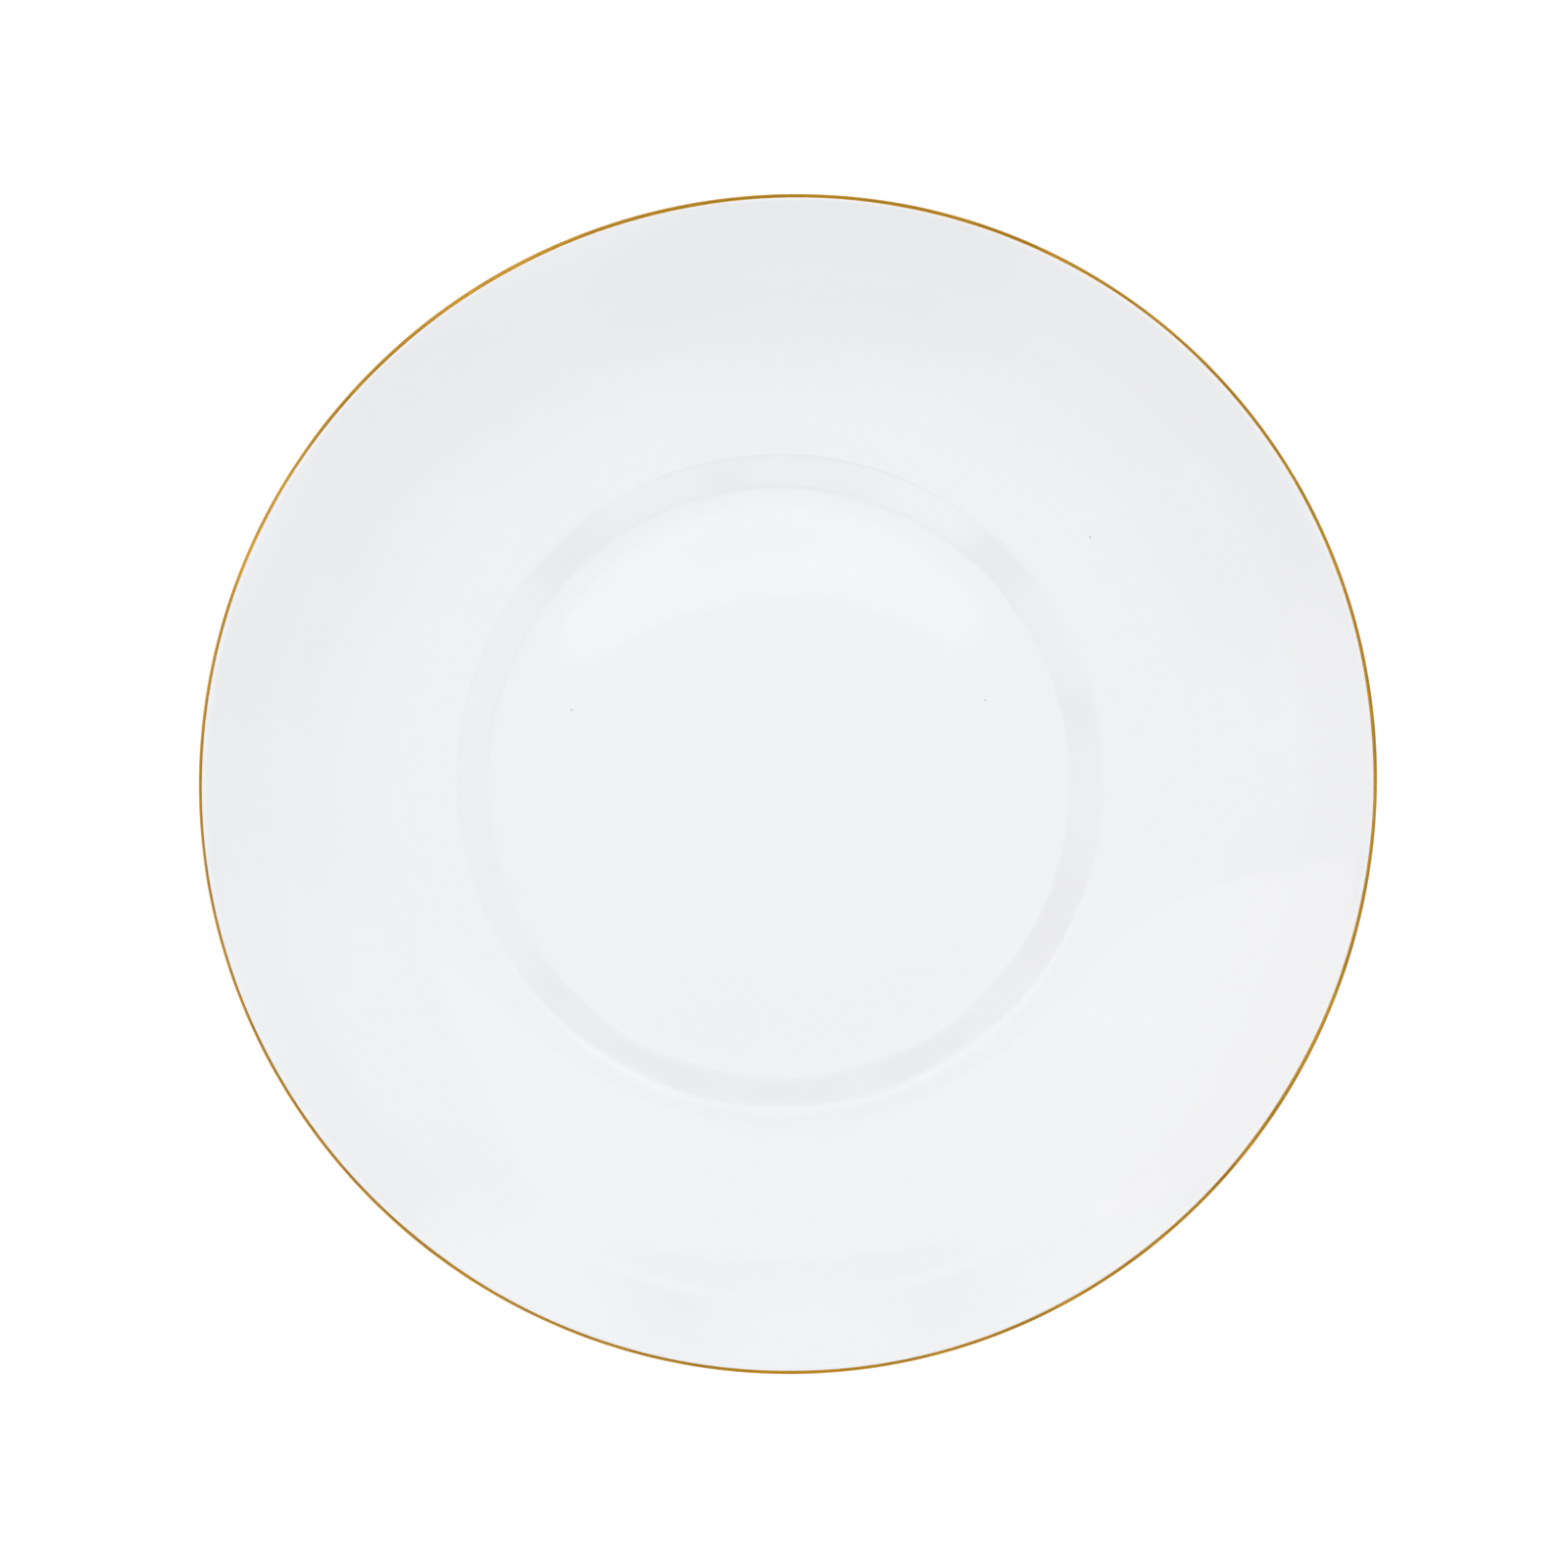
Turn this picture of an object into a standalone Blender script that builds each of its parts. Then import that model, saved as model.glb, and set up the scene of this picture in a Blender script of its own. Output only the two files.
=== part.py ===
"""Coupe dinner plate in white porcelain with a gilded lip.

The plate is turned about Z and stands on its foot ring at z = 0. Its finished skin is one
outline in (radius, height): the face from its centre to the lip, the round of the lip, the
underside, the foot and the recess inside the foot. The glaze and the gold are slices of
that skin. The porcelain body fills the inside, and is bare only where the foot stands.
"""

import math

import bmesh
import bpy
import numpy as np

MM = 0.001

# Driving dimensions
DIAMETER = 270 * MM
CENTRE_HEIGHT = 8.2 * MM  # face above the table, at the centre of the well
LIP_RADIUS = 1.2 * MM  # half the lip's thickness
LIP_LEAN = 20.0  # degrees that the face rises at the lip
FOOT_OUTER = 73.6 * MM  # radii of the two edges that stand on the table
FOOT_INNER = 70.2 * MM
FOOT_OUTER_LEAN = 14.0  # degrees that each side of the foot leans from the vertical
FOOT_INNER_LEAN = 10.0
OUTER_ROOT_RADIUS = 75.4 * MM  # where the foot grows out of the underside
INNER_ROOT_RADIUS = 66.2 * MM
OUTER_ROOT_FILLET = 2.2 * MM
INNER_ROOT_FILLET = 1.2 * MM
FOOT_CORNER = 0.6 * MM  # rounding of the foot's two bottom corners
DRY_FOOT = 1.0 * MM  # the foot is bare up to this height

# Slope of the face in degrees, at radii in millimetres. The well is slightly domed, the
# verge lifts steeply out of it, and a faint crease rings the flank near 117 mm.
FACE_SLOPES = (
    (0, 0),
    (30, -0.4),
    (42, -1.0),
    (54.5, -2.9),
    (60, -2.4),
    (62.4, -1.8),
    (63.5, 0),
    (66.6, 0.8),
    (68, 22),
    (69.2, 25),
    (74, 24.5),
    (75.6, 7),
    (77.4, 5.2),
    (80, 6.6),
    (90, 10.5),
    (105, 14),
    (115.8, 16),
    (118, 14.8),
    (119.6, 17),
    (126, 17.8),
    (133.4, LIP_LEAN),
)
# Thickness from skin to skin in millimetres, at radii in millimetres
THICKNESSES = ((0, 4.6), (64, 4.7), (74, 5.2), (85, 4.6), (110, 3.7), (127, 2.9), (133.4, 2.4))

# Radii in millimetres where the outline has a point
FACE_STATIONS = (0, 28, 46, 54.5, 62, 66.6, 67.4, 68.6, 74.2, 75, 76, 84, 94, 104, 115.8, 119, 127)
UNDERSIDE_STATIONS = (130, 118, 105, 92, 81)
RECESS_STATIONS = (60, 50, 30, 0)

# Coats
COAT = 0.25 * MM
GAP = 0.3 * MM  # between a coat and the body, and between two coats
GOLD_SPREAD = 60.0  # degrees round the lip that the gold reaches, up and down

TURN_STEPS = 60
MERGE = 0.001 * MM
SMOOTH_UNDER = math.radians(35)

# Name, colour, roughness and metallic value of each material
PORCELAIN = ("biscuit_porcelain", (0.86, 0.85, 0.82), 0.55, 0.0)
GLAZE = ("glazed_porcelain", (0.87, 0.88, 0.90), 0.06, 0.0)
GOLD = ("fired_gold", (0.83, 0.60, 0.22), 0.22, 1.0)

LIP_START = DIAMETER / 2 - LIP_RADIUS * (1 + math.sin(math.radians(LIP_LEAN)))


def smooth_value(stations, x):
    """A smooth curve through the stations, which never overshoots them."""
    xs, ys = np.array(stations, float).T
    chords = np.diff(ys) / np.diff(xs)
    same_way = chords[:-1] * chords[1:] > 0
    harmonic = 2 * chords[:-1] * chords[1:] / np.where(same_way, chords[:-1] + chords[1:], 1)
    tangents = np.zeros(len(xs))
    tangents[1:-1] = np.where(same_way, harmonic, 0)
    tangents[-1] = chords[-1]
    i = np.clip(np.searchsorted(xs, x) - 1, 0, len(chords) - 1)
    width = xs[i + 1] - xs[i]
    t = (x - xs[i]) / width
    bend = t * (1 - t) * ((1 - t) * tangents[i] - t * tangents[i + 1]) * width
    return ys[i] + (ys[i + 1] - ys[i]) * t * t * (3 - 2 * t) + bend


def face_point(radius):
    """The face at this radius: its slope summed from the centre outwards."""
    radii = np.linspace(0, radius, 600)
    slopes = np.tan(np.radians(smooth_value(FACE_SLOPES, radii / MM)))
    rise = np.sum((slopes[1:] + slopes[:-1]) / 2 * np.diff(radii))
    return np.array([radius, CENTRE_HEIGHT + rise])


def inward(degrees):
    """The direction from a face that rises by these degrees, square into the wall."""
    slope = math.radians(degrees)
    return np.array([math.sin(slope), -math.cos(slope)])


def back_point(radius):
    """The point of the underside square behind the face at this radius."""
    slope = smooth_value(FACE_SLOPES, radius / MM)
    thickness = smooth_value(THICKNESSES, radius / MM) * MM
    return face_point(radius) + thickness * inward(slope)


def lip_point(degrees):
    """A point on the round of the lip, this far up from its outermost point."""
    centre = face_point(LIP_START) + LIP_RADIUS * inward(LIP_LEAN)
    angle = math.radians(degrees)
    return centre + LIP_RADIUS * np.array([math.cos(angle), math.sin(angle)])


def rounded_corner(before, corner, after, radius, points):
    """An arc in place of the corner between two straight stretches."""
    to_before = (before - corner) / np.linalg.norm(before - corner)
    to_after = (after - corner) / np.linalg.norm(after - corner)
    half = math.acos(to_before @ to_after) / 2
    middle = (to_before + to_after) / np.linalg.norm(to_before + to_after)
    centre = corner + middle * radius / math.sin(half)
    first = corner + to_before * radius / math.tan(half) - centre
    last = corner + to_after * radius / math.tan(half) - centre
    sweep = math.pi - 2 * half
    arc = []
    for t in np.linspace(0, 1, points):
        turned = math.sin((1 - t) * sweep) * first + math.sin(t * sweep) * last
        arc.append(centre + turned / math.sin(sweep))
    return arc


def foot_side(root, foot_radius, lean, height):
    """Where a side of the foot is at this height. It leans away as it rises to its root."""
    way = 1 if root[0] > foot_radius else -1
    return np.array([foot_radius + way * height * math.tan(math.radians(lean)), height])


def skin():
    """The outline as (point, coat) from the centre of the face round to the centre of the
    recess. A point with no coat is bare. Coats end one gap short of each other."""
    outline = []

    def add(coat, points):
        outline.extend((point, coat) for point in points)

    gold_end = GOLD_SPREAD + math.degrees(GAP / LIP_RADIUS)
    outer_root = back_point(OUTER_ROOT_RADIUS)
    inner_root = back_point(INNER_ROOT_RADIUS)
    outer_top = foot_side(outer_root, FOOT_OUTER, FOOT_OUTER_LEAN, outer_root[1])
    inner_top = foot_side(inner_root, FOOT_INNER, FOOT_INNER_LEAN, inner_root[1])
    outer_edge = np.array([FOOT_OUTER, 0])
    inner_edge = np.array([FOOT_INNER, 0])
    underside = [back_point(r * MM) for r in UNDERSIDE_STATIONS]
    recess = [back_point(r * MM) for r in RECESS_STATIONS]

    add("face_glaze", [face_point(r * MM) for r in FACE_STATIONS])
    add("face_glaze", [face_point(LIP_START), lip_point(90), lip_point(gold_end)])
    add("gold_lip_band", [lip_point(a) for a in np.linspace(GOLD_SPREAD, -GOLD_SPREAD, 7)])
    add("underside_glaze", [lip_point(-gold_end)] + underside)
    add("underside_glaze", rounded_corner(underside[-1], outer_top, outer_edge, OUTER_ROOT_FILLET, 4))
    add("underside_glaze", [foot_side(outer_root, FOOT_OUTER, FOOT_OUTER_LEAN, DRY_FOOT + GAP)])
    add(None, [foot_side(outer_root, FOOT_OUTER, FOOT_OUTER_LEAN, DRY_FOOT)])
    add(None, rounded_corner(outer_top, outer_edge, inner_edge, FOOT_CORNER, 3))
    add(None, rounded_corner(outer_edge, inner_edge, inner_top, FOOT_CORNER, 3))
    add(None, [foot_side(inner_root, FOOT_INNER, FOOT_INNER_LEAN, DRY_FOOT)])
    add("foot_recess_glaze", [foot_side(inner_root, FOOT_INNER, FOOT_INNER_LEAN, DRY_FOOT + GAP)])
    add("foot_recess_glaze", rounded_corner(inner_edge, inner_top, recess[0], INNER_ROOT_FILLET, 3))
    add("foot_recess_glaze", recess)
    return outline


def outward_normals(points):
    """The outward direction at each point, midway between those of its two stretches."""
    ahead = np.diff(points, axis=0)
    square = np.stack([-ahead[:, 1], ahead[:, 0]], axis=1)
    square /= np.linalg.norm(square, axis=1)[:, None]
    both = np.concatenate([[(0, 1)], square[:-1] + square[1:], [(0, -1)]])
    return both / np.linalg.norm(both, axis=1)[:, None]


def coat_section(outline, normals, coat):
    """A closed slice of the skin: along its outside, then back along its inside."""
    picked = [(point, normal) for (point, c), normal in zip(outline, normals) if c == coat]
    outside = [point for point, normal in picked]
    inside = [point - normal * COAT for point, normal in picked]
    return outside + inside[::-1]


def body_section(outline, normals):
    """The body under its coats, with a shoulder at each end of the bare foot."""
    bare = [coat is None for point, coat in outline]
    section = []
    for i, (point, coat) in enumerate(outline):
        covered = point - normals[i] * (COAT + GAP)
        if not bare[i]:
            section.append(covered)
        elif not bare[i - 1]:
            section += [covered, point]
        elif not bare[i + 1]:
            section += [point, covered]
        else:
            section.append(point)
    return section


def turned(name, section, material):
    """A closed solid of revolution. A section that starts on the axis also ends there."""
    shape = bmesh.new()
    corners = [shape.verts.new((r, 0, z)) for r, z in section]
    pairs = list(zip(corners, corners[1:]))
    if section[0][0] > MERGE:
        pairs.append((corners[-1], corners[0]))
    edges = [shape.edges.new(pair) for pair in pairs]
    bmesh.ops.spin(
        shape,
        geom=corners + edges,
        axis=(0, 0, 1),
        angle=math.tau,
        steps=TURN_STEPS,
        use_merge=True,
    )
    bmesh.ops.remove_doubles(shape, verts=shape.verts, dist=MERGE)
    bmesh.ops.recalc_face_normals(shape, faces=shape.faces)
    mesh = bpy.data.meshes.new(name)
    shape.to_mesh(mesh)
    shape.free()
    mesh.shade_smooth()
    mesh.set_sharp_from_angle(angle=SMOOTH_UNDER)
    mesh.materials.append(material)
    solid = bpy.data.objects.new(name, mesh)
    bpy.context.scene.collection.objects.link(solid)


def surface(name, colour, roughness, metallic):
    material = bpy.data.materials.new(name)
    material.use_nodes = True
    shader = material.node_tree.nodes["Principled BSDF"]
    shader.inputs["Base Color"].default_value = (*colour, 1)
    shader.inputs["Roughness"].default_value = roughness
    shader.inputs["Metallic"].default_value = metallic
    return material


def main():
    for old in list(bpy.data.objects):
        bpy.data.objects.remove(old, do_unlink=True)
    outline = skin()
    normals = outward_normals(np.array([point for point, coat in outline]))
    turned("porcelain_body", body_section(outline, normals), surface(*PORCELAIN))
    glaze = surface(*GLAZE)
    for coat in ("face_glaze", "underside_glaze", "foot_recess_glaze"):
        turned(coat, coat_section(outline, normals, coat), glaze)
    turned("gold_lip_band", coat_section(outline, normals, "gold_lip_band"), surface(*GOLD))


main()
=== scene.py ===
import math

import bpy
import numpy as np
from mathutils import Matrix, Vector, noise


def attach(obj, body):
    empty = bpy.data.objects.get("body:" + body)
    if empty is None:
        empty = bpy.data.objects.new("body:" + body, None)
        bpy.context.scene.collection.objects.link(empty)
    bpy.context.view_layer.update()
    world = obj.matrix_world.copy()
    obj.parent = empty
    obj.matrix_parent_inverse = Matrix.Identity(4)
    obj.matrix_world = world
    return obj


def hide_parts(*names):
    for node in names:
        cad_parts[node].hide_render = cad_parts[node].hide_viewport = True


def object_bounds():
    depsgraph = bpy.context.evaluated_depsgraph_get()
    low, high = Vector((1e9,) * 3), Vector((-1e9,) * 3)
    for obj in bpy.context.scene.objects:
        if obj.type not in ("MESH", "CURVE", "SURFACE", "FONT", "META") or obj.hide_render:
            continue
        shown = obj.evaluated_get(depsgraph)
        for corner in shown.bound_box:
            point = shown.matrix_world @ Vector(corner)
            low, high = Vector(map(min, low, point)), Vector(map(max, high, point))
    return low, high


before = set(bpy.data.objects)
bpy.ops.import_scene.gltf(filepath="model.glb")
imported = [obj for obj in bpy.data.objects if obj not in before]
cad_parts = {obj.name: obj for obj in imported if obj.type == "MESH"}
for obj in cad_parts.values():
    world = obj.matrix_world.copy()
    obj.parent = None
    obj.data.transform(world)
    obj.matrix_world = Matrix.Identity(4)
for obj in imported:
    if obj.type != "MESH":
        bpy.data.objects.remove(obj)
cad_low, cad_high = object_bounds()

# The plate is turned about Z and stands on its foot ring at z = 0. Its finished skin is one
# outline in (radius, height), walked from the centre of the face, over the lip and the foot,
# to the centre of the recess. Every piece is a layer that covers a stretch of that walk.

MM = 0.001

# Driving dimensions, as in the CAD plate
DIAMETER = cad_high.x - cad_low.x
CENTRE_HEIGHT = 8.2 * MM
LIP_RADIUS = 1.2 * MM
LIP_LEAN = 20.0  # degrees that the face rises at the lip
FOOT_OUTER = 73.6 * MM
FOOT_INNER = 70.2 * MM
FOOT_OUTER_LEAN = 14.0  # degrees from the vertical
FOOT_INNER_LEAN = 10.0
OUTER_ROOT_RADIUS = 75.4 * MM
INNER_ROOT_RADIUS = 66.2 * MM
OUTER_ROOT_FILLET = 2.2 * MM
INNER_ROOT_FILLET = 1.2 * MM
FOOT_CORNER = 0.6 * MM
DRY_FOOT = 1.0 * MM

# Slope of the face in degrees, at radii in millimetres
FACE_SLOPES = (
    (0, 0),
    (30, -0.4),
    (42, -1.0),
    (54.5, -2.9),
    (60, -2.4),
    (62.4, -1.8),
    (63.5, 0),
    (66.6, 0.8),
    (68, 22),
    (69.2, 25),
    (74, 24.5),
    (75.6, 7),
    (77.4, 5.2),
    (80, 6.6),
    (90, 10.5),
    (105, 14),
    (115.8, 16),
    (118, 14.8),
    (119.6, 17),
    (126, 17.8),
    (133.4, LIP_LEAN),
)

# Thickness from skin to skin in millimetres, at radii in millimetres
THICKNESSES = ((0, 4.6), (64, 4.7), (74, 5.2), (85, 4.6), (110, 3.7), (127, 2.9), (133.4, 2.4))

FLANK_FOOT = 77 * MM  # radius where the underside's flank ends, outside the foot
RECESS_EDGE = 64 * MM  # radius where the recess begins, inside the foot

# Layers
COAT = 0.25 * MM  # thickness of the glaze
UNDER_COAT = 0.06 * MM  # clearance between the glaze and the body under it
BEAD_LENGTH = 1.4 * MM  # the glaze gathers in a low bead along its dry edge
BEAD_RISE = 0.09 * MM
BEAD_NOSE = 0.3 * MM
GOLD_FILM = 0.02 * MM  # the gold stands this far proud of the glaze
GOLD_SUNK = 0.2  # share of the film at which its hidden side lies
GOLD_THIN = 0.4  # share of the film that is left at its edges
GOLD_EDGE = 0.06 * MM  # the film thins over this width
GOLD_REACH_UP = 72.5  # degrees round the lip from its outermost point, on average
GOLD_REACH_DOWN = 60.0
GOLD_DRIFTS = ((1, 10, 17), (2, 4, -133), (3, 3, 10))  # waves a turn, degrees, phase in degrees

# Small faults of the firing
FAULTS_FROM = 80 * MM  # the plate is true inside this radius
OVALNESS = 0.005
OVAL_AXIS = 19.0  # degrees
THREE_SIDEDNESS = 0.0023
THREE_SIDED_AXIS = 50.0
LIP_STRAYS = (0.9 * MM, -0.4 * MM)  # how far the lip is off centre
LIP_WARPS = ((2, 0.16 * MM, 0.7), (3, 0.09 * MM, 2.0))  # waves a turn, lift, phase in radians
RIPPLE = 0.010 * MM  # height of the glaze's unevenness
RIPPLE_WAVES = ((55, 1.0), (210, 0.25))  # waves a metre, share of the height

# Edges that waver: how far each strays, its waves a turn, and its phase in radians
GOLD_TOP = (0.09 * MM, (3, 7, 11, 19), 0.4)
GOLD_BOTTOM = (0.12 * MM, (2, 5, 9, 17), 1.9)
DRY_OUTSIDE = (0.22 * MM, (2, 5, 13, 21), 0.9)
DRY_INSIDE = (0.22 * MM, (3, 8, 12, 23), 2.6)
WAVE_SPACING = 2.4  # radians, which sets the waves apart

# How finely the surfaces are cut up
TURN_STEPS = 384
LONGEST_STEP = 2.0 * MM
WIDEST_TURN = math.radians(2.0)
OUTLINE_STEP = 0.25 * MM
WALK_STEP = 0.02 * MM
ARC_POINTS = 60
CORNER_POINTS = 40
SMOOTHED_OVER = 13  # points of the walk that share a direction out
HIDDEN_EVERY = 4  # a hidden side keeps one ring in four
EDGE_RINGS = [d * MM for d in (0, 0.01, 0.03, 0.07, 0.13, 0.21, 0.31, 0.45, 0.7, 1.0, 1.4)]
CLOSEST_RINGS = 0.001 * MM
SHARP_OVER = math.radians(50)

# Colours and roughness, most as the two ends of a range
GLAZE_COLOURS = ((0.900, 0.907, 0.920), (0.907, 0.911, 0.919))
GLAZE_ROUGHNESS = (0.008, 0.018)
SPECK_COLOUR = (0.42, 0.38, 0.34)
SPECK_CELLS = 42  # cells a metre, a few of which hold a speck
SPECK_SHARE = 0.035
SPECK_EDGE = (0.004, 0.010)  # radii in cells between which a speck fades out
BISCUIT_COLOURS = ((0.80, 0.78, 0.74), (0.66, 0.63, 0.59))
BISCUIT_ROUGHNESS = (0.5, 0.7)
GOLD_COLOURS = ((0.46, 0.235, 0.016), (0.56, 0.300, 0.026))
GOLD_ROUGHNESS = (0.16, 0.34)

# Floor: a white light table
FLOOR_HALF = 3.0
FLOOR_DROP = 0.2 * MM
FLOOR_GREY = 0.3
FLOOR_GLOW = 0.82

# Softbox over the plate
BOX_PLACE = (0.01, 0.239, 1.0)
BOX_TURN = 2.5  # degrees
BOX_SIZE = (0.76, 0.30)
BOX_RADIANCE = 0.64
BOX_COLOUR = (1.0, 0.91, 0.86)

HORIZON = (0.50, 0.50, 0.50)  # the dome where no glow reaches
# Glows of the dome, and shades where its colour is taken away: the way to each from the plate
# as degrees that it leans east and north, its inner and outer radius in degrees, its colour
GLOWS = (
    (0, 0, 42, 80, (0.391, 0.363, 0.332)),
    (8, 2, 23, 32, (0.23, 0.33, 0.47)),
    (-13, 34, 4, 11, (0.90, 0.95, 0.85)),
    (8, 38, 4, 11, (0.75, 0.80, 0.75)),
    (29, 36, 3, 11, (1.00, 1.05, 1.00)),
    (5, 19, 4, 14, (-0.20, -0.20, -0.20)),
    (32, 44, 3, 9, (-0.35, -0.35, -0.35)),
    (8, 50, 3, 9, (-0.40, -0.40, -0.40)),
    (-18, 44, 3, 9, (-0.60, -0.60, -0.60)),
    (-35, 24, 3, 9, (-0.35, -0.35, -0.35)),
    (8, -31, 3, 14, (-0.52, -0.52, -0.52)),
    (27, -30, 3, 14, (-0.36, -0.36, -0.40)),
    (-9, -28, 3, 13, (-0.22, -0.24, -0.32)),
    (40, -17, 3, 13, (-0.26, -0.30, -0.38)),
    (-20, -16, 3, 13, (-0.14, -0.18, -0.24)),
    (41, 1, 3, 12, (0.0, -0.02, -0.10)),
    (8, -7.5, 1, 5, (-0.14, -0.18, -0.18)),
    (14, -5.5, 1, 5, (-0.08, -0.12, -0.10)),
    (7, 10, 1, 5, (-0.20, -0.22, -0.24)),
    (39, 17, 3, 12, (0.25, 0.28, 0.30)),
    (-39, 0, 3, 10, (0.30, 0.32, 0.42)),
    (-23, -4, 2, 9, (0.22, 0.22, 0.22)),
    (27, 23, 2, 10, (0.09, 0.09, 0.09)),
    (-34, -25, 3, 12, (0.65, 0.70, 0.78)),
    (-16, -43, 3, 12, (1.10, 1.18, 1.28)),
    (8, -50, 3, 12, (0.75, 0.82, 0.90)),
    (33, -44, 3, 13, (0.70, 0.73, 0.76)),
    (51, -26, 3, 13, (0.70, 0.74, 0.80)),
    (57, 0, 3, 13, (0.60, 0.64, 0.75)),
    (51, 25, 3, 12, (0.40, 0.44, 0.50)),
    (-49, 68, 5, 14, (1.3, 1.3, 1.3)),
    (-67, 54, 5, 14, (1.3, 1.3, 1.3)),
)

# Camera, high over the plate and a little to the west of it
SENSOR = 36.0
CAMERA_DISTANCE = 2.6
CAMERA_TILT = 8.0  # degrees from the vertical
CAMERA_BEARING = 180.0  # degrees from +X
PLATE_SHARE = 0.7562  # the plate's share of the picture's width
VIEW_SHIFT = (-0.0039, -0.0015)

LIP_START = DIAMETER / 2 - LIP_RADIUS * (1 + math.sin(math.radians(LIP_LEAN)))


# ---------------------------------------------------------------- outline


def smooth_value(stations, x):
    """A smooth curve through the stations, which never overshoots them."""
    xs, ys = np.array(stations, float).T
    chords = np.diff(ys) / np.diff(xs)
    same_way = chords[:-1] * chords[1:] > 0
    harmonic = 2 * chords[:-1] * chords[1:] / np.where(same_way, chords[:-1] + chords[1:], 1)
    tangents = np.zeros(len(xs))
    tangents[1:-1] = np.where(same_way, harmonic, 0)
    tangents[-1] = chords[-1]
    i = np.clip(np.searchsorted(xs, x) - 1, 0, len(chords) - 1)
    width = xs[i + 1] - xs[i]
    t = (x - xs[i]) / width
    bend = t * (1 - t) * ((1 - t) * tangents[i] - t * tangents[i + 1]) * width
    return ys[i] + (ys[i + 1] - ys[i]) * t * t * (3 - 2 * t) + bend


def face_points(radii):
    """The face at these radii: its slope summed from the centre outwards."""
    fine = np.arange(0, DIAMETER / 2, WALK_STEP)
    slopes = np.tan(np.radians(smooth_value(FACE_SLOPES, fine / MM)))
    rises = np.concatenate([[0], np.cumsum((slopes[1:] + slopes[:-1]) / 2 * WALK_STEP)])
    return np.stack([radii, CENTRE_HEIGHT + np.interp(radii, fine, rises)], axis=1)


def inward(degrees):
    """The direction from a face that rises by these degrees, square into the wall."""
    slope = np.radians(degrees)
    return np.stack([np.sin(slope), -np.cos(slope)], axis=-1)


def back_points(radii):
    """The underside square behind the face at these radii."""
    thickness = smooth_value(THICKNESSES, radii / MM) * MM
    slopes = smooth_value(FACE_SLOPES, radii / MM)
    return face_points(radii) + thickness[:, None] * inward(slopes)


def arc(centre, radius, start, end):
    """Points round an arc from one angle to another, in degrees from the radius outwards."""
    angles = np.radians(np.linspace(start, end, ARC_POINTS))
    return centre + radius * np.stack([np.cos(angles), np.sin(angles)], axis=1)


def rounded_corner(before, corner, after, radius):
    """An arc in place of the corner between two straight stretches."""
    to_before = (before - corner) / np.linalg.norm(before - corner)
    to_after = (after - corner) / np.linalg.norm(after - corner)
    half = math.acos(to_before @ to_after) / 2
    middle = (to_before + to_after) / np.linalg.norm(to_before + to_after)
    centre = corner + middle * radius / math.sin(half)
    first = corner + to_before * radius / math.tan(half) - centre
    last = corner + to_after * radius / math.tan(half) - centre
    sweep = math.pi - 2 * half
    t = np.linspace(0, 1, CORNER_POINTS)[:, None]
    return centre + (np.sin((1 - t) * sweep) * first + np.sin(t * sweep) * last) / math.sin(sweep)


def foot_side(root, foot_radius, lean, height):
    """Where a side of the foot is at this height. It leans away as it rises to its root."""
    way = 1 if root[0] > foot_radius else -1
    return np.array([foot_radius + way * height * math.tan(math.radians(lean)), height])


def walk_outline():
    """The outline's points, evenly spaced, and the distance walked to its landmarks."""
    lip_centre = face_points(np.array([LIP_START]))[0] + LIP_RADIUS * inward(LIP_LEAN)
    flank = back_points(np.arange(LIP_START, FLANK_FOOT, -OUTLINE_STEP))
    recess = back_points(np.arange(RECESS_EDGE, -OUTLINE_STEP / 2, -OUTLINE_STEP))
    outer_root = back_points(np.array([OUTER_ROOT_RADIUS]))[0]
    inner_root = back_points(np.array([INNER_ROOT_RADIUS]))[0]
    outer_top = foot_side(outer_root, FOOT_OUTER, FOOT_OUTER_LEAN, outer_root[1])
    inner_top = foot_side(inner_root, FOOT_INNER, FOOT_INNER_LEAN, inner_root[1])
    outer_edge = np.array([FOOT_OUTER, 0])
    inner_edge = np.array([FOOT_INNER, 0])
    stretches = [
        face_points(np.arange(0, LIP_START, OUTLINE_STEP)),
        arc(lip_centre, LIP_RADIUS, 90 + LIP_LEAN, LIP_LEAN - 90),
        flank[1:],
        rounded_corner(flank[-1], outer_top, outer_edge, OUTER_ROOT_FILLET),
        rounded_corner(outer_top, outer_edge, inner_edge, FOOT_CORNER),
        rounded_corner(outer_edge, inner_edge, inner_top, FOOT_CORNER),
        rounded_corner(inner_edge, inner_top, recess[0], INNER_ROOT_FILLET),
        recess,
    ]
    corners = np.concatenate(stretches)
    walked = np.concatenate([[0], np.cumsum(np.linalg.norm(np.diff(corners, axis=0), axis=1))])
    even = np.arange(0, walked[-1], WALK_STEP)
    points = np.stack([np.interp(even, walked, corners[:, k]) for k in (0, 1)], axis=1)
    foot = np.flatnonzero((points[:, 1] < DRY_FOOT) & (even > walked[len(stretches[0])]))
    marks = {
        "lip": even[np.argmax(points[:, 0])],
        "dry_outer": even[foot[0]],
        "dry_inner": even[foot[-1]],
        "end": even[-1],
    }
    return even, points, marks


def walk_normals(points):
    """The outward direction at each point of the outline, smoothed over its neighbours."""
    ahead = np.gradient(points, axis=0)
    square = np.stack([-ahead[:, 1], ahead[:, 0]], axis=1)
    window = np.hanning(SMOOTHED_OVER) / np.hanning(SMOOTHED_OVER).sum()
    padded = np.pad(square, ((SMOOTHED_OVER // 2,) * 2, (0, 0)), mode="edge")
    smooth = np.stack([np.convolve(padded[:, k], window, mode="valid") for k in (0, 1)], axis=1)
    return smooth / np.linalg.norm(smooth, axis=1)[:, None]


WALK, OUTLINE, MARKS = walk_outline()
NORMALS = walk_normals(OUTLINE)


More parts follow.
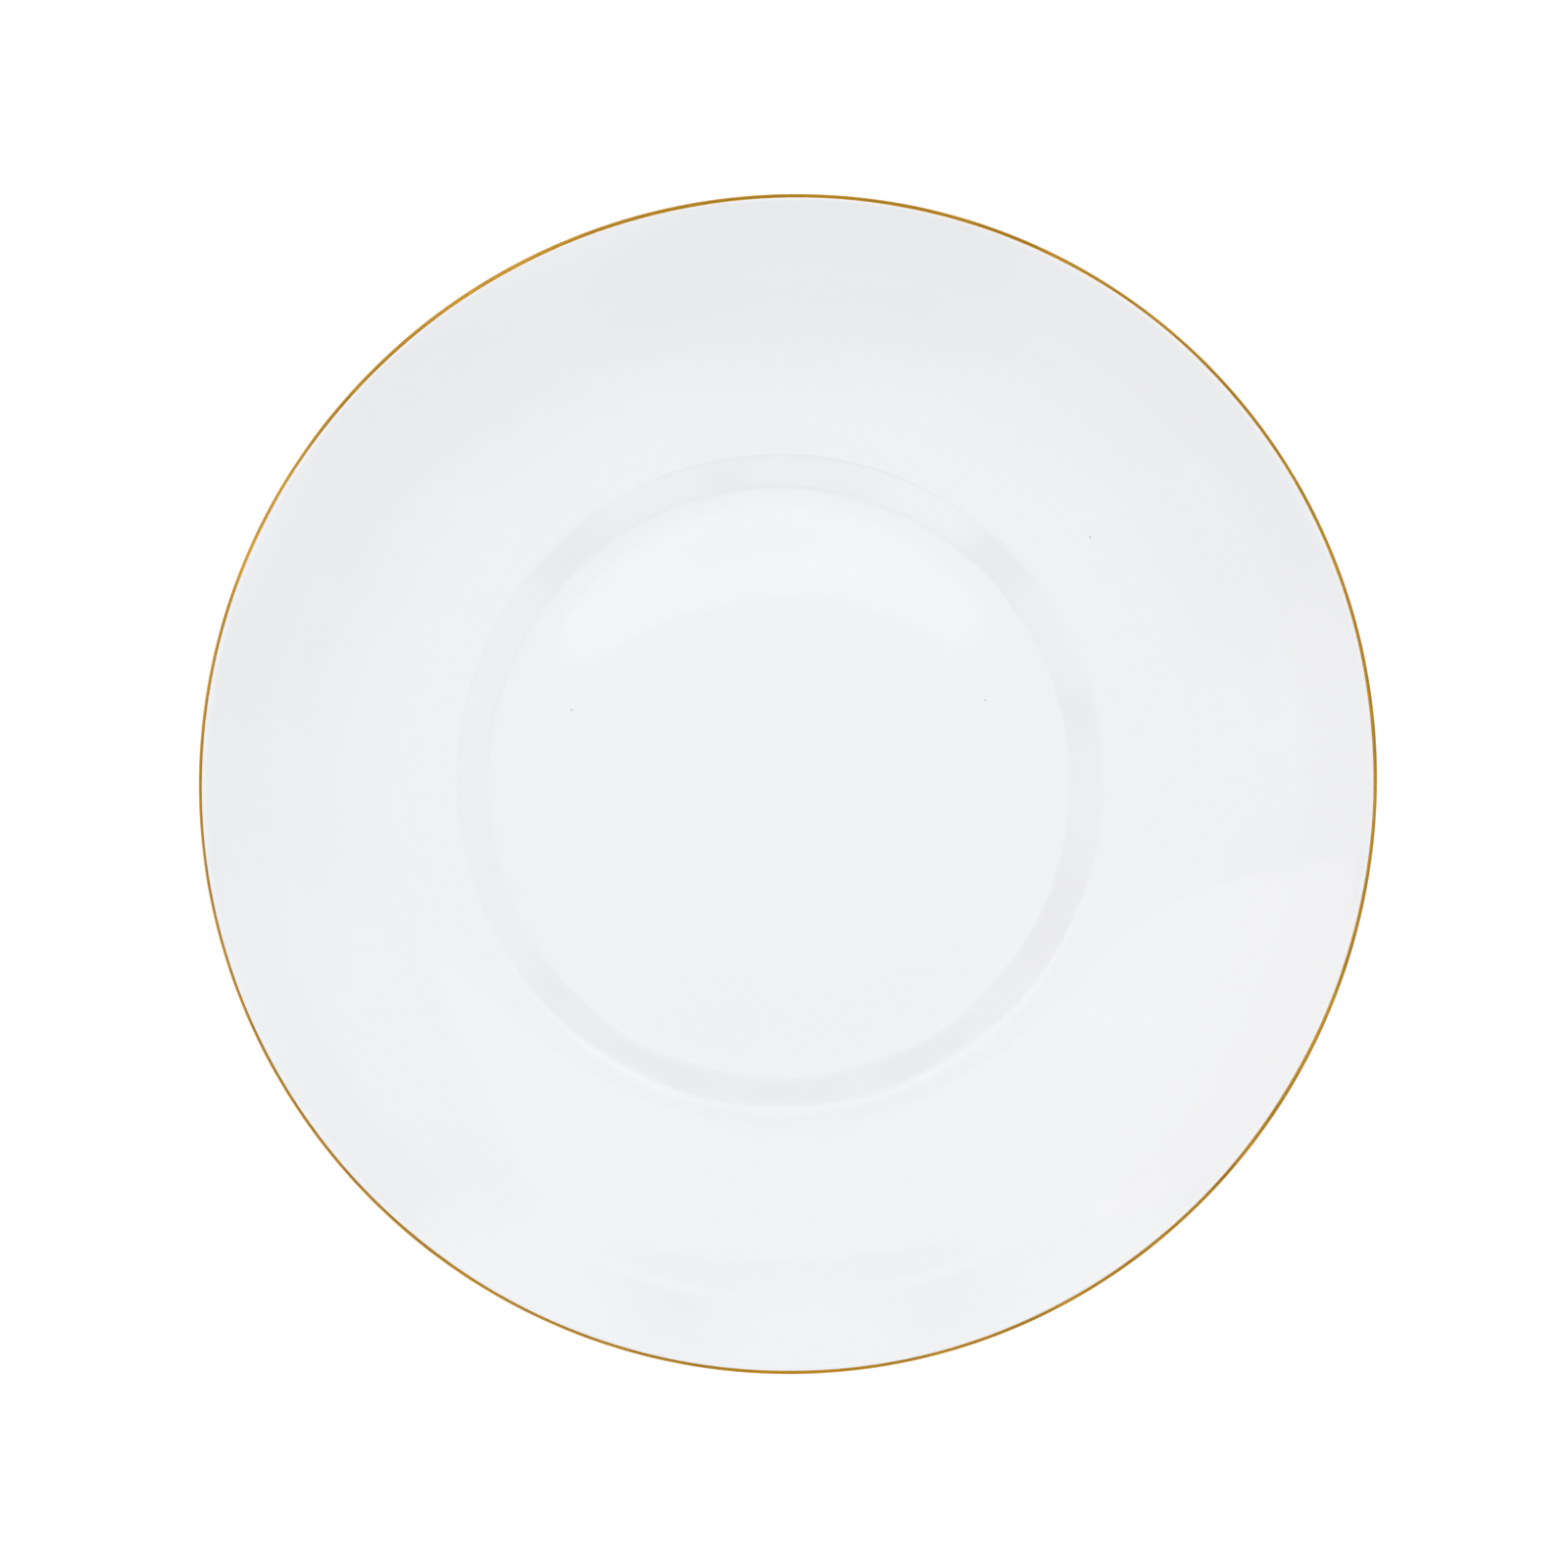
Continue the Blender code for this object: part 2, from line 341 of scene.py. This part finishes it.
def stations(start, end):
    """Places along the walk, closer together where the outline turns."""
    inside = (WALK >= start) & (WALK <= end)
    places = WALK[inside]
    heading = np.unwrap(np.arctan2(NORMALS[inside, 1], NORMALS[inside, 0]))
    wanted = 1 / LONGEST_STEP + np.abs(np.gradient(heading, places)) / WIDEST_TURN
    counted = np.concatenate([[0], np.cumsum(wanted[1:] * np.diff(places))])
    return np.interp(np.linspace(0, counted[-1], math.ceil(counted[-1]) + 1), counted, places)


# ---------------------------------------------------------------- small irregularities

ANGLES = np.linspace(0, math.tau, TURN_STEPS, endpoint=False)


def level(place):
    """The same place on the outline at each angle."""
    return np.full(TURN_STEPS, float(place))


def wander(reach, waves, phase):
    """A closed wavering line round the plate: how far an edge strays at each angle."""
    total = np.zeros(TURN_STEPS)
    for k, count in enumerate(waves):
        total += np.sin(count * ANGLES + phase + WAVE_SPACING * k * k) / math.sqrt(count)
    return reach * total / np.abs(total).max()


def fired(points):
    """The plate as it left the kiln: a little out of round, and its lip off centre and uneven."""
    x, y, z = points[..., 0], points[..., 1], points[..., 2]
    angle = np.arctan2(y, x)
    out = np.clip((np.hypot(x, y) - FAULTS_FROM) / (DIAMETER / 2 - FAULTS_FROM), 0, 1) ** 2
    oval = OVALNESS * np.cos(2 * (angle - math.radians(OVAL_AXIS)))
    three_sided = THREE_SIDEDNESS * np.cos(3 * (angle - math.radians(THREE_SIDED_AXIS)))
    stretch = 1 + (oval + three_sided) * out
    lift = sum(height * np.cos(waves * angle + phase) for waves, height, phase in LIP_WARPS)
    east, north = (across * stretch + stray * out for across, stray in zip((x, y), LIP_STRAYS))
    return np.stack([east, north, z + lift * out], axis=-1)


def rippled(points, normals):
    """The glaze pushed in and out by a faint unevenness."""
    heights = np.zeros(points.shape[:2])
    for waves, share in RIPPLE_WAVES:
        wave = [noise.noise(Vector(point) * waves) for point in points.reshape(-1, 3)]
        heights += RIPPLE * share * np.reshape(wave, heights.shape)
    return points + normals * heights[..., None]


# ---------------------------------------------------------------- pieces


def turned(places, raised):
    """Points of the outline at these places, pushed out and turned, and their directions out.

    places has a row for each ring and a column for each angle.
    """
    r, z = (np.interp(places, WALK, OUTLINE[:, k]) for k in (0, 1))
    nr, nz = (np.interp(places, WALK, NORMALS[:, k]) for k in (0, 1))
    r, z = np.maximum(r + raised * nr, 0), z + raised * nz
    cos, sin = np.cos(ANGLES), np.sin(ANGLES)
    points = np.stack([r * cos, r * sin, z], axis=-1)
    outwards = np.stack([nr * cos, nr * sin, nz], axis=-1)
    return points, outwards


def rings_between(start, end, keep_every=1):
    """Places for each ring at each angle, from one wavering line on the outline to another."""
    first, last = float(np.mean(start)), float(np.mean(end))
    near_ends = np.array(EDGE_RINGS)
    places = [stations(first, last)[::keep_every], first + near_ends, last - near_ends]
    places = np.unique(np.concatenate(places))
    places = places[(places > first) & (places < last - CLOSEST_RINGS)]
    places = places[np.diff(places, prepend=first) > CLOSEST_RINGS]
    share = (np.array([first, *places, last]) - first)[:, None] / (last - first)
    return start + share * (end - start)


def solid_of(name, grid, on_axis):
    """A closed mesh from rings of points, which end on the axis or meet each other."""
    count = len(grid)
    row = np.arange(TURN_STEPS)
    after = np.roll(row, -1)
    faces = []
    for i in range(count - 1 if on_axis else count):
        here, there = i * TURN_STEPS, (i + 1) % count * TURN_STEPS
        quads = np.stack([here + row, there + row, there + after, here + after], axis=1)
        faces += quads.tolist()
    points = grid.reshape(-1, 3).tolist()
    if on_axis:
        far = (count - 1) * TURN_STEPS
        faces += [(len(points), a, b) for a, b in zip(row.tolist(), after.tolist())]
        faces += [(len(points) + 1, far + b, far + a) for a, b in zip(row.tolist(), after.tolist())]
        points += [grid[0].mean(axis=0).tolist(), grid[-1].mean(axis=0).tolist()]
    mesh = bpy.data.meshes.new(name)
    mesh.from_pydata(points, [], faces)
    mesh.shade_smooth()
    mesh.set_sharp_from_angle(angle=SHARP_OVER)
    piece = bpy.data.objects.new(name, mesh)
    bpy.context.scene.collection.objects.link(piece)
    return piece


def swell(distance):
    """How far the glaze stands proud, by distance from its dry edge: a low rounded bead."""
    steep = np.sqrt(1 - (1 - np.clip(distance / BEAD_NOSE, 0, 1)) ** 2)
    far = np.clip(distance / BEAD_LENGTH, 0, 1)
    return BEAD_RISE * steep * (1 - far * far * (3 - 2 * far))


def depth(distance):
    """How deep the glaze goes, by distance from its dry edge."""
    return COAT * np.sqrt(1 - (1 - np.clip(distance / BEAD_NOSE, 0, 1)) ** 2)


def coat(name, start, end, dry_start=False, dry_end=False):
    """A coat of glaze over a stretch of the outline."""

    def from_dry_edge(places):
        distance = np.full(places.shape, np.inf)
        if dry_start:
            distance = places - start
        if dry_end:
            distance = end - places
        return distance

    fine = rings_between(start, end)
    coarse = rings_between(start, end, HIDDEN_EVERY)
    from_centre = start.max() == 0
    to_centre = end.min() == MARKS["end"]
    if from_centre:
        fine, coarse = fine[1:], coarse[1:]
    if to_centre:
        fine, coarse = fine[:-1], coarse[:-1]
    top, outwards = turned(fine, swell(from_dry_edge(fine)))
    top = rippled(top, outwards)
    bottom, _ = turned(coarse, -depth(from_dry_edge(coarse)))
    if dry_start:
        grid = np.concatenate([bottom[::-1], top])
    else:
        grid = np.concatenate([top, bottom[::-1]])
    return solid_of(name, fired(grid), on_axis=from_centre or to_centre)


def make_body(dry_outer, dry_inner):
    """The fired body under its coats, bare between the two dry edges."""
    hidden_out = rings_between(level(0), dry_outer, HIDDEN_EVERY)[1:]
    bare = rings_between(dry_outer, dry_inner)
    hidden_in = rings_between(dry_inner, level(MARKS["end"]), HIDDEN_EVERY)[:-1]
    grids = [
        turned(hidden_out, -depth(dry_outer - hidden_out) - UNDER_COAT)[0],
        turned(bare, 0)[0],
        turned(hidden_in, -depth(hidden_in - dry_inner) - UNDER_COAT)[0],
    ]
    return solid_of("plate_body", fired(np.concatenate(grids)), on_axis=True)


def make_gold(upper, lower):
    """The gold film round the lip, proud of the glaze by a hair."""
    fine = rings_between(upper, lower)
    coarse = rings_between(upper, lower, HIDDEN_EVERY)
    edge = np.clip(np.minimum(fine - upper, lower - fine) / GOLD_EDGE, 0, 1)
    top, _ = turned(fine, GOLD_FILM * (GOLD_THIN + (1 - GOLD_THIN) * edge * (2 - edge)))
    bottom, _ = turned(coarse, GOLD_FILM * GOLD_SUNK)
    return solid_of("gold_line", fired(np.concatenate([top, bottom[::-1]])), on_axis=False)


# ---------------------------------------------------------------- materials


class Nodes:
    """A material's node tree, with short ways to add to it."""

    def __init__(self, name):
        self.material = bpy.data.materials.new(name)
        self.material.use_nodes = True
        self.tree = self.material.node_tree
        self.shader = self.tree.nodes["Principled BSDF"]
        self.place = self.add("ShaderNodeTexCoord").outputs["Object"]

    def add(self, kind, **settings):
        node = self.tree.nodes.new(kind)
        for key, value in settings.items():
            setattr(node, key, value)
        return node

    def link(self, output, socket):
        self.tree.links.new(output, socket)

    def noise(self, scale, detail=2.0, roughness=0.5):
        node = self.add("ShaderNodeTexNoise")
        node.inputs["Scale"].default_value = scale
        node.inputs["Detail"].default_value = detail
        node.inputs["Roughness"].default_value = roughness
        self.link(self.place, node.inputs["Vector"])
        return node.outputs["Fac"]

    def eased(self, value, low, high, ends=(0, 1)):
        """A smooth step from one end to the other, as the value goes from low to high."""
        node = self.add("ShaderNodeMapRange", interpolation_type="SMOOTHSTEP")
        sockets = ("From Min", "From Max", "To Min", "To Max")
        for socket, number in zip(sockets, (low, high, *ends)):
            node.inputs[socket].default_value = number
        self.link(value, node.inputs["Value"])
        return node.outputs["Result"]

    def colours(self, value, first, second):
        """A blend from the first colour to the second. Either may be another node's output."""
        node = self.add("ShaderNodeMix", data_type="RGBA")
        for key, colour in (("A", first), ("B", second)):
            if isinstance(colour, tuple):
                node.inputs[key].default_value = (*colour, 1)
            else:
                self.link(colour, node.inputs[key])
        self.link(value, node.inputs["Factor"])
        return node.outputs["Result"]

    def maths(self, operation, first, second):
        node = self.add("ShaderNodeMath", operation=operation)
        for socket, value in zip(node.inputs, (first, second)):
            if isinstance(value, (int, float)):
                socket.default_value = value
            else:
                self.link(value, socket)
        return node.outputs["Value"]

    def bump(self, height, distance):
        node = self.add("ShaderNodeBump")
        node.inputs["Strength"].default_value = 1.0
        node.inputs["Distance"].default_value = distance
        self.link(height, node.inputs["Height"])
        return node.outputs["Normal"]

    def set(self, **values):
        for key, value in values.items():
            socket = self.shader.inputs[key.replace("_", " ")]
            if hasattr(value, "node"):
                self.link(value, socket)
            else:
                socket.default_value = value


def specks(n):
    """Small dark specks here and there: 1 on a speck, 0 elsewhere."""
    cells = n.add("ShaderNodeTexVoronoi", voronoi_dimensions="2D")
    cells.inputs["Scale"].default_value = SPECK_CELLS
    n.link(n.place, cells.inputs["Vector"])
    near = n.eased(cells.outputs["Distance"], *SPECK_EDGE, ends=(1, 0))
    split = n.add("ShaderNodeSeparateColor")
    n.link(cells.outputs["Color"], split.inputs["Color"])
    chosen = n.maths("GREATER_THAN", split.outputs["Red"], 1 - SPECK_SHARE)
    return n.maths("MULTIPLY", near, chosen)


def glazed_porcelain():
    """Clear gloss glaze over white: a faint cloud in its tint, specks and orange peel."""
    n = Nodes("glazed_porcelain")
    clean = n.colours(n.eased(n.noise(14), 0.35, 0.65), *GLAZE_COLOURS)
    n.set(Base_Color=n.colours(specks(n), clean, SPECK_COLOUR))
    n.set(Roughness=n.eased(n.noise(90), 0.3, 0.7, ends=GLAZE_ROUGHNESS), IOR=1.52)
    n.set(Subsurface_Weight=0.12, Subsurface_Radius=(1.0, 0.92, 0.85), Subsurface_Scale=0.0012)
    n.set(Normal=n.bump(n.noise(700, detail=1), 0.0006 * MM))
    return n.material


def biscuit_porcelain():
    """Bare fired clay: matt and grainy, and a little stained where it rubs on tables."""
    n = Nodes("biscuit_porcelain")
    stain = n.eased(n.noise(160, detail=4), 0.45, 0.8)
    n.set(Base_Color=n.colours(stain, *BISCUIT_COLOURS))
    n.set(Roughness=n.eased(n.noise(500), 0.3, 0.7, ends=BISCUIT_ROUGHNESS), IOR=1.5)
    n.set(Normal=n.bump(n.noise(3000, detail=3), 0.02 * MM))
    return n.material


def fired_gold():
    """Thin bright gold, laid with a brush, so its tone and its polish vary."""
    n = Nodes("fired_gold")
    stroke = n.eased(n.noise(70, detail=4, roughness=0.6), 0.3, 0.7)
    n.set(Base_Color=n.colours(stroke, *GOLD_COLOURS), Metallic=1.0)
    n.set(Roughness=n.eased(n.noise(240, detail=3), 0.3, 0.7, ends=GOLD_ROUGHNESS))
    n.set(Normal=n.bump(n.noise(900, detail=2), 0.01 * MM))
    return n.material


# ---------------------------------------------------------------- stage


def make_softbox():
    """A level rectangle of light over the plate, which faces down."""
    light = bpy.data.lights.new("key_box", "AREA")
    light.shape = "RECTANGLE"
    light.size, light.size_y = BOX_SIZE
    light.energy = BOX_RADIANCE * math.pi * BOX_SIZE[0] * BOX_SIZE[1]
    light.color = BOX_COLOUR
    lamp = bpy.data.objects.new("key_box", light)
    lamp.location = BOX_PLACE
    lamp.rotation_euler.z = math.radians(BOX_TURN)
    lamp.visible_camera = False
    bpy.context.scene.collection.objects.link(lamp)


def make_floor():
    """A white light table under the plate."""
    half = FLOOR_HALF
    corners = [(-half, -half, 0), (half, -half, 0), (half, half, 0), (-half, half, 0)]
    mesh = bpy.data.meshes.new("light_table")
    mesh.from_pydata(corners, [], [(0, 1, 2, 3)])
    n = Nodes("light_table")
    n.set(Base_Color=(FLOOR_GREY, FLOOR_GREY, FLOOR_GREY, 1), Roughness=0.9)
    n.set(Emission_Color=(1, 1, 1, 1), Emission_Strength=FLOOR_GLOW)
    mesh.materials.append(n.material)
    floor = bpy.data.objects.new("light_table", mesh)
    floor.location.z = -FLOOR_DROP
    bpy.context.scene.collection.objects.link(floor)


def lean(east, north):
    """The direction that leans from the vertical by these degrees towards +X and +Y."""
    return Vector((math.tan(math.radians(east)), math.tan(math.radians(north)), 1)).normalized()


def make_dome():
    """A dome of soft light: an even base, and round glows that fade at their edges."""
    world = bpy.data.worlds.new("studio_dome")
    world.use_nodes = True
    tree = world.node_tree
    place = tree.nodes.new("ShaderNodeTexCoord").outputs["Generated"]
    total = None
    for east, north, inner, outer, colour in GLOWS:
        dot = tree.nodes.new("ShaderNodeVectorMath")
        dot.operation = "DOT_PRODUCT"
        dot.inputs[1].default_value = lean(east, north)
        tree.links.new(place, dot.inputs[0])
        fade = tree.nodes.new("ShaderNodeMapRange")
        fade.interpolation_type = "SMOOTHSTEP"
        fade.inputs["From Min"].default_value = math.cos(math.radians(outer))
        fade.inputs["From Max"].default_value = math.cos(math.radians(inner))
        tree.links.new(dot.outputs["Value"], fade.inputs["Value"])
        added = tree.nodes.new("ShaderNodeVectorMath")
        added.operation = "MULTIPLY_ADD"
        added.inputs[1].default_value = colour
        added.inputs[2].default_value = HORIZON
        tree.links.new(fade.outputs["Result"], added.inputs[0])
        if total is not None:
            tree.links.new(total, added.inputs[2])
        total = added.outputs["Vector"]
    tree.links.new(total, tree.nodes["Background"].inputs["Color"])
    bpy.context.scene.world = world


def make_camera():
    """A camera that looks at the axis at the height of the lip, with +Y up in the picture."""
    tilt, bearing = math.radians(CAMERA_TILT), math.radians(CAMERA_BEARING)
    sideways = math.sin(tilt)
    back = Vector((sideways * math.cos(bearing), sideways * math.sin(bearing), math.cos(tilt)))
    right = Vector((0, 1, 0)).cross(back).normalized()
    data = bpy.data.cameras.new("camera")
    data.sensor_width = SENSOR
    data.lens = SENSOR * CAMERA_DISTANCE * PLATE_SHARE / DIAMETER
    data.shift_x, data.shift_y = VIEW_SHIFT
    camera = bpy.data.objects.new("camera", data)
    camera.location = Vector((0, 0, cad_high.z)) + back * CAMERA_DISTANCE
    camera.rotation_euler = Matrix((right, back.cross(right), back)).transposed().to_euler()
    bpy.context.scene.collection.objects.link(camera)
    bpy.context.scene.camera = camera


# ---------------------------------------------------------------- the whole


def dress(piece, material, node):
    """The piece in its material, riding the body that its CAD node rides."""
    piece.data.materials.append(material)
    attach(piece, "root")
    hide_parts(node)


def make_plate():
    lip = MARKS["lip"]
    drifts = [size * np.cos(waves * ANGLES - np.radians(phase)) for waves, size, phase in GOLD_DRIFTS]
    gold_upper = lip - LIP_RADIUS * np.radians(GOLD_REACH_UP + sum(drifts)) + wander(*GOLD_TOP)
    gold_lower = lip + LIP_RADIUS * math.radians(GOLD_REACH_DOWN) + wander(*GOLD_BOTTOM)
    dry_outer = MARKS["dry_outer"] + wander(*DRY_OUTSIDE)
    dry_inner = MARKS["dry_inner"] + wander(*DRY_INSIDE)
    face = coat("face_coat", level(0), level(lip))
    underside = coat("underside_coat", level(lip), dry_outer, dry_end=True)
    recess = coat("recess_coat", dry_inner, level(MARKS["end"]), dry_start=True)
    glaze = glazed_porcelain()
    dress(face, glaze, "face_glaze")
    dress(underside, glaze, "underside_glaze")
    dress(recess, glaze, "foot_recess_glaze")
    dress(make_body(dry_outer, dry_inner), biscuit_porcelain(), "porcelain_body")
    dress(make_gold(gold_upper, gold_lower), fired_gold(), "gold_lip_band")


make_plate()
make_floor()
make_dome()
make_softbox()
make_camera()
bpy.context.scene.view_settings.view_transform = "Standard"
